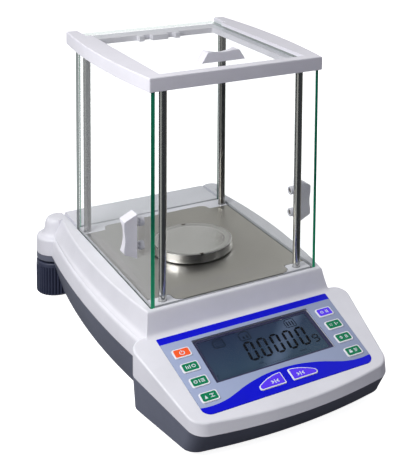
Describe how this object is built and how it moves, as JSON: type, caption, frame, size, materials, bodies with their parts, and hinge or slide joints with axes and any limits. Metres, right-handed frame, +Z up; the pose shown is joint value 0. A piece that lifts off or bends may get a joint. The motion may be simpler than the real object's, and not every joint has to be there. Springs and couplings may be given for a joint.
{
  "type": "analytical balance",
  "caption": "Electronic analytical balance with a glass draft shield, sliding doors, round weighing pan, sloping display and keypad block and knurled levelling feet.",
  "frame": {"origin": "on the table, in the middle of the balance's footprint (the bounding box's bottom face)", "axes": "+Z up, -Y towards the user (keypad side), +X to the user's right"},
  "size_m": [0.2246, 0.3911, 0.2915],
  "materials": {
    "white_housing": "fine satin texture, cool white",
    "grey_housing": "fine satin texture, slate grey",
    "frame_plastic": "satin white",
    "shield_glass": "clear float glass with green cut edges",
    "polished_steel": "bright drawn stainless rod",
    "brushed_steel": "fine brushed stainless sheet",
    "cast_aluminium": "as cast",
    "magnet_steel": "machined",
    "coil_copper": "enamelled winding",
    "core_laminations": "varnished laminations",
    "circuit_board": "solder mask",
    "black_plastic": "moulded",
    "zinc": "zinc plated",
    "keypad_film": "fine matt printed polyester, grey-blue with blue bands",
    "display_window": "clear acrylic",
    "display_bezel": "dark",
    "lcd_panel": "slate blue liquid crystal",
    "key_orange": "raised film key, white border",
    "key_violet": "raised film key, white border",
    "key_green": "raised film key, white border",
    "foot_plastic": "fluted moulded knob, dark navy",
    "black_rubber": "matt"
  },
  "bodies": {
    "root": {"cell_base": "cast_aluminium", "column_front_left": "polished_steel", "column_front_right": "polished_steel", "column_rear_left": "polished_steel", "column_rear_right": "polished_steel", "display_bezel": "display_bezel", "display_window": "display_window", "floor_plate": "brushed_steel", "front_foot_left": "black_rubber", "front_foot_right": "black_rubber", "front_glass": "shield_glass", "housing_screw_front_left": "zinc", "housing_screw_front_right": "zinc", "housing_screw_rear_left": "zinc", "housing_screw_rear_right": "zinc", "keypad_board": "circuit_board", "lcd_module": "lcd_panel", "lower_housing": "grey_housing", "magnet_pot": "magnet_steel", "main_board": "circuit_board", "panel_overlay": "keypad_film", "power_inlet": "black_plastic", "rear_glass": "shield_glass", "serial_port": "zinc", "top_frame": "frame_plastic", "transformer": "core_laminations", "upper_housing": "white_housing"},
    "left_door": {"left_door_glass": "shield_glass", "left_door_handle": "frame_plastic", "left_handle_bush_lower": "frame_plastic", "left_handle_bush_upper": "frame_plastic"},
    "right_door": {"right_door_glass": "shield_glass", "right_door_handle": "frame_plastic", "right_handle_bush_lower": "frame_plastic", "right_handle_bush_upper": "frame_plastic"},
    "top_door": {"top_door_glass": "shield_glass", "top_door_handle": "frame_plastic"},
    "pan_carrier": {"pan_support": "cast_aluminium"},
    "pan": {"weighing_pan": "brushed_steel"},
    "beam": {"force_beam": "cast_aluminium", "coil_former": "coil_copper"},
    "foot_left_pad": {"foot_pad_left": "black_rubber"},
    "foot_left_knob": {"levelling_knob_left": "foot_plastic", "levelling_stud_left": "zinc"},
    "foot_right_pad": {"foot_pad_right": "black_rubber"},
    "foot_right_knob": {"levelling_knob_right": "foot_plastic", "levelling_stud_right": "zinc"},
    "button_key_left_1": {"key_left_1": "key_orange"},
    "button_key_left_2": {"key_left_2": "key_green"},
    "button_key_left_3": {"key_left_3": "key_green"},
    "button_key_left_4": {"key_left_4": "key_green"},
    "button_key_right_1": {"key_right_1": "key_violet"},
    "button_key_right_2": {"key_right_2": "key_green"},
    "button_key_right_3": {"key_right_3": "key_green"},
    "button_key_right_4": {"key_right_4": "key_green"},
    "button_tare_key_left": {"tare_key_left": "key_violet"},
    "button_tare_key_right": {"tare_key_right": "key_violet"}
  },
  "joints": [
    {"name": "left_door_slide", "type": "slide", "parent": "root", "child": "left_door", "axis": [0, 1, 0], "range_m": [0, 0.12]},
    {"name": "right_door_slide", "type": "slide", "parent": "root", "child": "right_door", "axis": [0, 1, 0], "range_m": [0, 0.12]},
    {"name": "top_door_slide", "type": "slide", "parent": "root", "child": "top_door", "axis": [0, 1, 0], "range_m": [0, 0.12]},
    {"name": "pan_travel", "type": "slide", "parent": "root", "child": "pan_carrier", "axis": [0, 0, 1], "range_m": [-0.0003, 0.0002]},
    {"name": "pan_lift", "type": "slide", "parent": "pan_carrier", "child": "pan", "axis": [0, 0, 1], "range_m": [0, 0.03]},
    {"name": "beam_tilt", "type": "hinge", "parent": "root", "child": "beam", "pos_m": [0, 0.0544, 0.0545], "axis": [1, 0, 0], "range_deg": [-0.5, 0.7]},
    {"name": "foot_travel_left", "type": "slide", "parent": "root", "child": "foot_left_pad", "axis": [0, 0, -1], "range_m": [-0.00101, 0.00601]},
    {"name": "foot_turn_left", "type": "hinge", "parent": "foot_left_pad", "child": "foot_left_knob", "pos_m": [-0.0903, 0.1736, 0], "axis": [0, 0, 1], "range_deg": [-1440, 240]},
    {"name": "foot_travel_right", "type": "slide", "parent": "root", "child": "foot_right_pad", "axis": [0, 0, -1], "range_m": [-0.00101, 0.00601]},
    {"name": "foot_turn_right", "type": "hinge", "parent": "foot_right_pad", "child": "foot_right_knob", "pos_m": [0.0903, 0.1736, 0], "axis": [0, 0, 1], "range_deg": [-1440, 240]},
    {"name": "press_key_left_1", "type": "slide", "parent": "root", "child": "button_key_left_1", "axis": [0, 0.2419, -0.9703], "range_m": [0, 0.0006]},
    {"name": "press_key_left_2", "type": "slide", "parent": "root", "child": "button_key_left_2", "axis": [0, 0.2419, -0.9703], "range_m": [0, 0.0006]},
    {"name": "press_key_left_3", "type": "slide", "parent": "root", "child": "button_key_left_3", "axis": [0, 0.2419, -0.9703], "range_m": [0, 0.0006]},
    {"name": "press_key_left_4", "type": "slide", "parent": "root", "child": "button_key_left_4", "axis": [0, 0.2419, -0.9703], "range_m": [0, 0.0006]},
    {"name": "press_key_right_1", "type": "slide", "parent": "root", "child": "button_key_right_1", "axis": [0, 0.2419, -0.9703], "range_m": [0, 0.0006]},
    {"name": "press_key_right_2", "type": "slide", "parent": "root", "child": "button_key_right_2", "axis": [0, 0.2419, -0.9703], "range_m": [0, 0.0006]},
    {"name": "press_key_right_3", "type": "slide", "parent": "root", "child": "button_key_right_3", "axis": [0, 0.2419, -0.9703], "range_m": [0, 0.0006]},
    {"name": "press_key_right_4", "type": "slide", "parent": "root", "child": "button_key_right_4", "axis": [0, 0.2419, -0.9703], "range_m": [0, 0.0006]},
    {"name": "press_tare_key_left", "type": "slide", "parent": "root", "child": "button_tare_key_left", "axis": [0, 0.2419, -0.9703], "range_m": [0, 0.0006]},
    {"name": "press_tare_key_right", "type": "slide", "parent": "root", "child": "button_tare_key_right", "axis": [0, 0.2419, -0.9703], "range_m": [0, 0.0006]}
  ],
  "couplings": [
    {"joint": "beam_tilt", "follows": "pan_travel", "rad_per_m": -35.714},
    {"joint": "foot_travel_left", "follows": "foot_turn_left", "m_per_rad": -0.00023873},
    {"joint": "foot_travel_right", "follows": "foot_turn_right", "m_per_rad": -0.00023873}
  ]
}
